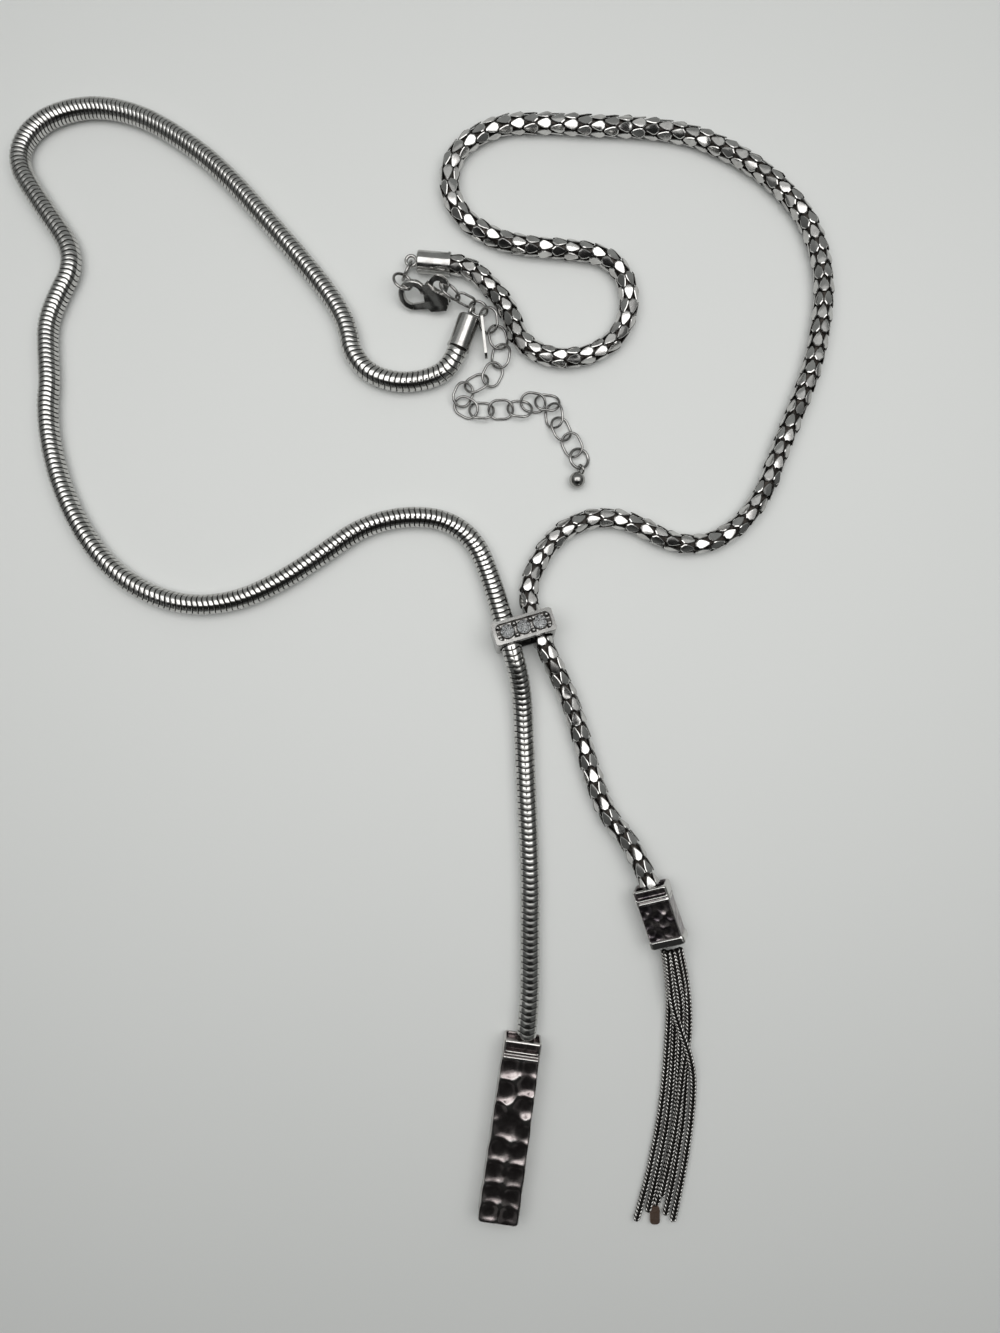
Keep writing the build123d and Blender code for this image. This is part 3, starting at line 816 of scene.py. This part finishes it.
# Where the block's rings lie: distance from the top, and how far they are drawn in
pendant_stations = [(0.95, 2.2), (0.95, 0.66), (0.3, 0.6), (0.07, 0.52), (0.0, 0.36),
                    (0.05, 0.17), (0.18, 0.05)]
pendant_stations += [(0.4 + 0.1 * k, 0.0) for k in range(45)]
pendant_stations += [(4.9 + 0.27 * k, 0.0) for k in range(139)]
pendant_stations += [(42.6, 0.06), (42.95, 0.2), (43.2, 0.5), (43.3, 0.95), (43.3, 2.0)]
pendant_finish = antique("pendant_antique", (0.26, 0.225, 0.225), (0.62, 0.605, 0.59),
                         0.0, 0.36)
pendant = cast_piece("hammered_bar", pendant_frame,
                     cast_block(pendant_stations, pendant_width, pendant_thick, pendant_corner,
                                pendant_front, pendant_back, pendant_side, (44, 22, 6)),
                     pendant_finish)
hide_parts("bar_pendant")


# Tassel cap
# A cast, antiqued rectangular cap: a bright frame around a dark slot at the
# top, a hammered panel, and a thick rounded rim above the tassel.

cap_frame = tilted_frame((56.15, -59.2, 4.3), -71.3, roll=19)
cap_length = 14.4
cap_width = 8.6
cap_thick = 6.0
cap_corner = 0.9
panel_marks = [(4.6, -2.2, 1.3), (4.3, -3.7, 0.9), (6.7, -0.1, 1.2), (5.4, 1.6, 1.3),
               (7.2, 2.9, 1.1), (8.2, -2.9, 1.3), (8.6, 0.9, 1.2), (10.9, 1.2, 1.3),
               (11.6, -1.1, 1.1), (12.0, 2.5, 0.9), (10.3, -2.7, 1.2), (6.0, -3.4, 1.0)]


def cap_front(x, v):
    """x runs from the cap's top end."""
    slot = (eased(x, 0.5, 0.85) * (1 - eased(x, 2.0, 2.35)) * (1 - eased(abs(v), 3.3, 3.7)))
    panel = (eased(x, 3.45, 3.75) * (1 - eased(x, 12.3, 12.6)) * (1 - eased(abs(v), 3.55, 3.8)))
    return (0.9 * slot + slot_line(x, 2.85, 0.22, 0.3)
            + panel * (0.32 + hammered(panel_marks, x, v, 0.22)))


def cap_side(x, w):
    inset = eased(x, 3.3, 3.8) * (1 - eased(x, 12.2, 12.7))
    return slot_line(x, 2.85, 0.22, 0.25) + inset * (0.22 + 0.12 * noise.noise(
        Vector((x * 0.6, w * 0.6, 3))))


def cap_body_width(x):
    return cap_width + 0.25 * eased(x, 12.4, 13.0) - 0.2


cap_stations = [(1.0, 1.6), (1.0, 0.95), (0.3, 0.85), (0.05, 0.7), (0.0, 0.5), (0.06, 0.22),
                (0.2, 0.07)]
cap_stations += [(0.4 + 0.17 * k, 0.0) for k in range(80)]
cap_stations += [(14.1, 0.06), (14.3, 0.2), (14.4, 0.5), (14.4, 0.9), (13.5, 1.05), (13.4, 1.9)]
tassel_cap_finish = antique("cap_antique", (0.15, 0.13, 0.145), (0.60, 0.59, 0.57), 0.10, 0.34)
cap_piece = cast_piece("tassel_cap_cast",
                       cap_frame @ Matrix.Translation((-cap_length / 2, 0, 0)),
                       cast_block(cap_stations, cap_body_width, cap_thick, cap_corner,
                                  cap_front, cap_front, cap_side, (44, 26, 6)),
                       tassel_cap_finish)
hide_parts("tassel_cap")


# Tassel
# Fine foxtail chains, dark with bright crowns (the dark is painted shade on
# their core), gathered in the cap and left loose. Each has two rows of small
# slanted beads on either side. A dull copper tab closes the end of one.

strand_routes = [
    [(57.1, -67.7, 4.0), (58.2, -74.0, 2.9), (58.9, -81.1, 1.6), (58.5, -90.1, 1.0),
     (57.8, -99.7, 0.95), (56.6, -109.3, 0.95), (55.2, -116.4, 0.95), (53.4, -124.8, 0.95),
     (50.9, -133.4, 0.95)],
    [(58.2, -68.1, 3.6), (59.3, -74.8, 2.4), (60.3, -83.0, 1.0), (60.0, -91.3, 0.95),
     (59.5, -99.7, 0.95), (58.5, -109.3, 0.95), (57.1, -116.4, 0.95), (55.5, -124.1, 0.95),
     (53.7, -131.3, 0.95)],
    [(58.8, -67.6, 4.4), (60.2, -74.6, 3.2), (61.6, -82.0, 2.4), (61.4, -91.1, 1.5),
     (61.1, -99.7, 1.0), (60.4, -109.3, 0.95), (59.1, -116.4, 0.95), (57.5, -123.6, 0.95),
     (55.7, -129.6, 0.95)],
    [(59.9, -67.3, 4.6), (61.6, -74.6, 3.0), (63.1, -82.4, 1.2), (63.1, -91.3, 0.95),
     (62.8, -99.7, 0.95), (62.2, -109.3, 0.95), (61.0, -116.4, 0.95), (59.6, -124.8, 0.95),
     (57.9, -132.0, 0.95)],
    [(57.6, -67.6, 5.2), (58.4, -74.2, 4.3), (59.3, -81.2, 3.2), (61.4, -87.5, 2.9),
     (63.7, -93.6, 2.4), (64.8, -100.1, 1.1), (64.1, -109.3, 0.95), (63.1, -116.4, 0.95),
     (61.6, -124.8, 0.95), (59.7, -133.4, 0.95)],
    [(60.8, -67.2, 4.2), (62.7, -74.9, 2.2), (63.4, -82.4, 2.4), (63.4, -89.9, 1.6),
     (62.0, -95.8, 2.3), (61.4, -102.0, 2.3), (60.4, -109.6, 2.2), (59.1, -116.7, 2.2),
     (57.7, -122.9, 2.2), (56.9, -126.9, 1.9)],
    [(59.1, -68.4, 3.4), (60.7, -75.7, 1.2), (61.6, -83.0, 0.95), (61.4, -90.2, 0.9),
     (61.6, -97.0, 0.9)],
]
strand_pitch = 0.92
bead_reach = 0.62
bead_thick = 0.22
bead_slant = 40
strand_spread = 0.7
strand_core_radius = 0.58
bead_sides = 6

strand_bright = plate("strand_bright", (0.62, 0.61, 0.59), (0.40, 0.385, 0.37), 0.12,
                      grain=5200)
# Painted shade for the strands' cores, between and under the beads
strand_painted_shade = painted_shade_metal("strand_painted_shade", (0.012, 0.011, 0.01), (0.035, 0.032, 0.03))
points, faces, picks = [], [], []
for route in strand_routes:
    strand = Lay(route)
    steps = int(strand.length / strand_pitch)
    for step in range(steps):
        for corner in range(4):
            place, along, left, up = strand.at((step + 0.5 + 0.25 * (corner % 2)) * strand_pitch)
            angle = tau * corner / 4 + pi / 4
            outward = left * sin(angle) + up * cos(angle)
            around = left * cos(angle) - up * sin(angle)
            lean = radians(bead_slant if corner % 2 else -bead_slant)
            lengthwise = along * cos(lean) + around * sin(lean)
            across = around * cos(lean) - along * sin(lean)
            middle = place + outward * strand_spread
            first = len(points)
            points.append(middle - lengthwise * bead_reach)
            for reach_out in (-0.5, 0.5):
                for k in range(bead_sides):
                    angle = tau * k / bead_sides
                    points.append(middle + lengthwise * reach_out * bead_reach
                                  + (across * sin(angle) + outward * cos(angle)) * bead_thick)
            points.append(middle + lengthwise * bead_reach)
            low, high, end = first + 1, first + 1 + bead_sides, first + 1 + 2 * bead_sides
            for k in range(bead_sides):
                after = (k + 1) % bead_sides
                faces += [(first, low + k, low + after),
                          (low + k, high + k, high + after, low + after),
                          (end, high + after, high + k)]
                picks += [0, 0, 0]
    add_core(strand, 0.0, strand.length - 0.2, strand_core_radius, 6, 1.5)
tassel = shape("tassel_strands", points, faces, [strand_bright, strand_painted_shade],
               picks, crease=60)
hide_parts("tassel")

tab_finish = Finish("copper_tab", {"Metallic": 1.0})
tarnish = tab_finish.cloud(1200, 4)
tab_finish.feed("Base Color", tab_finish.between(tab_finish.eased(tarnish, 0.35, 0.65),
                                                 (0.50, 0.36, 0.29), (0.34, 0.23, 0.175)))
tab_finish.feed("Roughness", 0.28 + 0.25 * tarnish)
tab_finish.bump(tarnish, 0.4, 0.00003)
refinish(["tassel_tab"], tab_finish)


# Clasp
# A lobster clasp, cast and polished, its lever on a pin. Jump rings tie its
# hook and eye to the end caps.

clasp_finish = plate("clasp_polish", (0.62, 0.61, 0.595), (0.48, 0.47, 0.455), 0.13,
                     grain=330, relief=0.003, detail=0)
wire_finish = plate("wire_polish", (0.38, 0.375, 0.365), (0.28, 0.275, 0.27), 0.07,
                    grain=3000)
refinish(["clasp_body", "clasp_lever"], clasp_finish)
refinish(["cap_ring", "hook_ring", "eye_ring", "hub_ring", "short_link"], wire_finish)


# Extender
# Links bent from round wire, closed without solder, a blank tag, an end ring
# and a turned ball drop.

refinish([f"extender_link_{number:02d}" for number in range(1, 16)], wire_finish)
refinish(["extender_end_ring"], wire_finish)
tag_finish = plate("tag_polish", (0.42, 0.415, 0.40), (0.33, 0.325, 0.315), 0.06,
                   grain=1500)
refinish(["tag", "ball_drop"], tag_finish)
